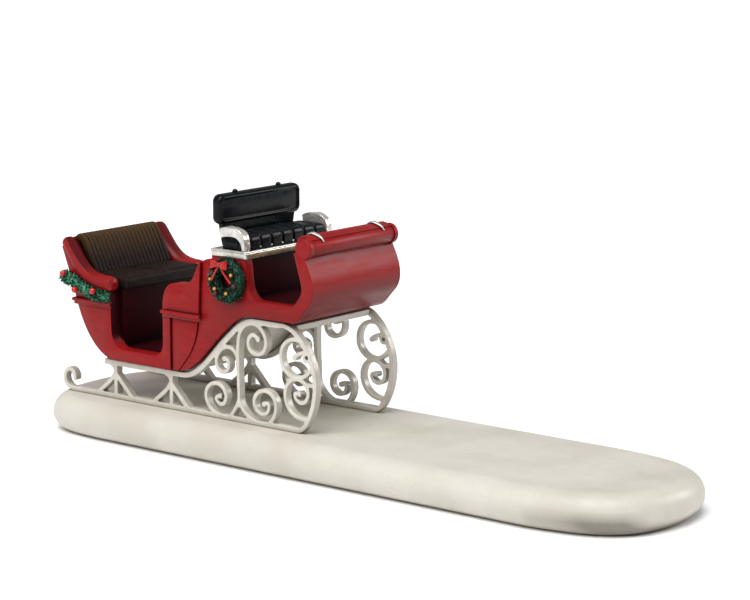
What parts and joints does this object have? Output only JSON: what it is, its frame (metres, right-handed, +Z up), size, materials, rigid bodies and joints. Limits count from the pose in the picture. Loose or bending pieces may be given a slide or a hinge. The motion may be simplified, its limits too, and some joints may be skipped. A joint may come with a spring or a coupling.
{
  "type": "horse drawn sleigh figurine",
  "caption": "Painted figurine of a horse drawn sleigh with scrolled runners, a red body, a raised driver's seat, wreaths and a garland, on a long rounded plinth.",
  "frame": {"origin": "middle of the plinth's underside", "axes": "+X is the way the sleigh travels, +Y its left, +Z up"},
  "size_m": [0.2296, 0.0608, 0.0818],
  "materials": {
    "plinth": "satin",
    "runner": "satin",
    "red": "satin",
    "dark_red": "matte",
    "bright_trim": "satin",
    "black_pad": "satin",
    "brown_pad": "satin",
    "greenery": "matte",
    "ribbon": "gloss",
    "gold_paint": "satin",
    "cone_paint": "matte",
    "berry_paint": "gloss"
  },
  "bodies": {
    "root": {"plinth": "plinth", "runner_frame_right": "runner", "runner_frame_left": "runner", "runner_struts_right": "runner", "runner_struts_left": "runner", "runner_scrolls_right": "runner", "runner_scrolls_left": "runner", "saddle_plate": "runner", "crossbar": "runner", "body_side_right": "red", "body_side_left": "red", "cabin_skin_right": "red", "cabin_skin_left": "red", "lower_panel_right": "red", "lower_panel_left": "red", "rear_shell": "red", "bottom_sheet": "red", "dash_panel": "red", "dash_roll": "red", "dash_lining": "red", "rear_belt": "red", "front_belt_right": "red", "front_belt_left": "red", "wing_right": "red", "wing_left": "red", "bulkhead": "red", "footwell_floor": "red", "seat_box_front": "red", "cabin_floor": "dark_red", "roll_strap_right": "bright_trim", "roll_strap_left": "bright_trim", "seat_tray": "bright_trim", "arm_arch_right": "bright_trim", "arm_arch_left": "bright_trim", "arm_panel_right": "black_pad", "arm_panel_left": "black_pad", "driver_cushion": "black_pad", "driver_backrest": "black_pad", "backrest_stays": "black_pad", "backrest_knobs": "black_pad", "bench_cushion": "brown_pad", "back_pad": "brown_pad", "bench_riser": "brown_pad", "wreath_right": "greenery", "wreath_left": "greenery", "garland": "greenery", "wreath_bow_right": "ribbon", "wreath_bow_left": "ribbon", "gold_berries_right": "gold_paint", "gold_berries_left": "gold_paint", "cone_berries_right": "cone_paint", "cone_berries_left": "cone_paint", "garland_berries": "berry_paint"}
  },
  "joints": []
}
